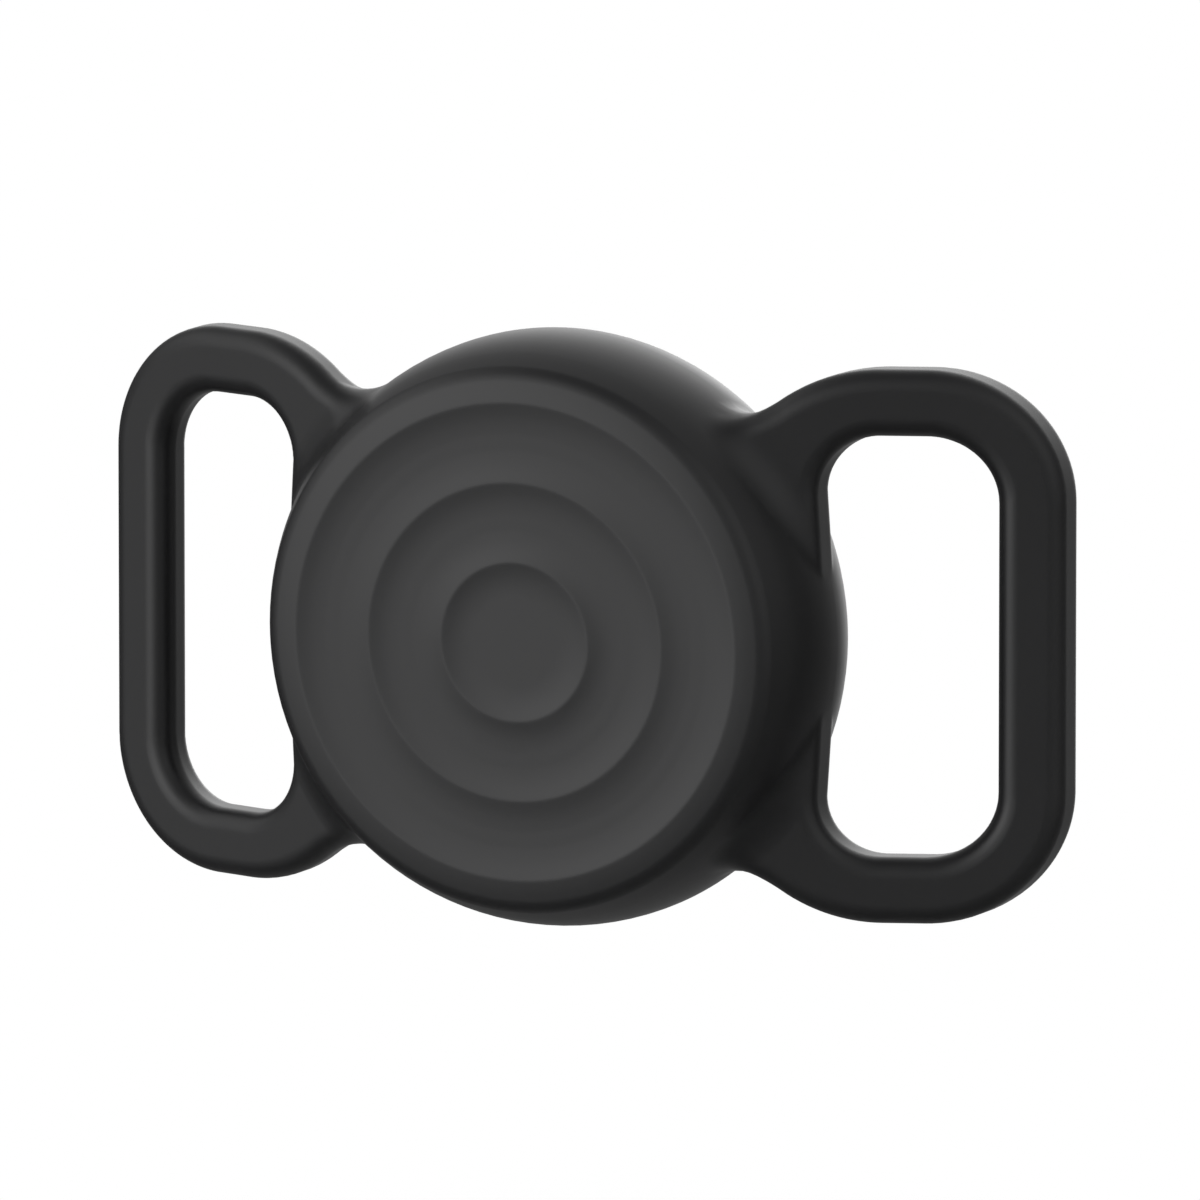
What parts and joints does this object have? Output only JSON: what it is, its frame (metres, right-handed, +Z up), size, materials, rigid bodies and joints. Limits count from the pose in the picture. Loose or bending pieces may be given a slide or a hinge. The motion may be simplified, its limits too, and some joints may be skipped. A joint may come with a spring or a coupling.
{
  "type": "tracker tag holder",
  "caption": "Soft silicone collar holder: a round body with a ringed front and swept strap loops, carrying a coin-shaped tracker tag with a twist-off battery cover.",
  "frame": {"origin": "on the tag's axis, in the plane of the holder's back rim, midway along the strap's path", "axes": "+X along the strap to the right, +Y out of the back towards the wearer, +Z up across the strap"},
  "size_m": [0.065, 0.0135, 0.0376],
  "materials": {
    "silicone_black": "matte moulded silicone",
    "case_white": "polished polycarbonate",
    "tray_grey": "moulded, plain",
    "ring_white": "moulded, plain",
    "board_green": "solder mask",
    "chip_black": "moulded epoxy",
    "shield_steel": "tinned",
    "capacitor_tan": "fired",
    "copper": "bare copper",
    "magnet_nickel": "nickel plated",
    "contact_gold": "gold plated spring strip",
    "cell_steel": "drawn",
    "gasket_black": "moulded",
    "lithium": "rolled",
    "separator": "non-woven",
    "cathode_black": "pressed powder",
    "cover_steel": "polished stainless"
  },
  "bodies": {
    "holder": {"holder_sleeve": "silicone_black"},
    "tag": {"tag_shell": "case_white", "rear_bezel": "case_white", "battery_tray": "tray_grey", "antenna_carrier": "tray_grey", "circuit_board": "board_green", "radio_chip": "chip_black", "memory_chip": "chip_black", "motion_sensor": "chip_black", "power_inductor": "chip_black", "radio_shield": "shield_steel", "clock_crystal": "shield_steel", "speaker_yoke": "shield_steel", "capacitor_1": "capacitor_tan", "capacitor_2": "capacitor_tan", "capacitor_3": "capacitor_tan", "speaker_coil": "copper", "antenna_foil": "copper", "speaker_magnet": "magnet_nickel", "negative_contact": "contact_gold", "positive_contact_1": "contact_gold", "positive_contact_2": "contact_gold", "cell_can": "cell_steel", "cell_cap": "cell_steel", "cell_gasket": "gasket_black", "cell_anode": "lithium", "cell_separator": "separator", "cell_cathode": "cathode_black"},
    "cover": {"battery_cover": "cover_steel", "cover_ring": "ring_white"}
  },
  "joints": [
    {"name": "tag_slide", "type": "slide", "parent": "holder", "child": "tag", "axis": [0, 1, 0], "range_m": [0, 0.014], "deforming": ["holder_sleeve"]},
    {"name": "cover_twist", "type": "hinge", "parent": "tag", "child": "cover", "pos_m": [0, 0, 0], "axis": [0, 1, 0], "range_deg": [0, 18]}
  ]
}
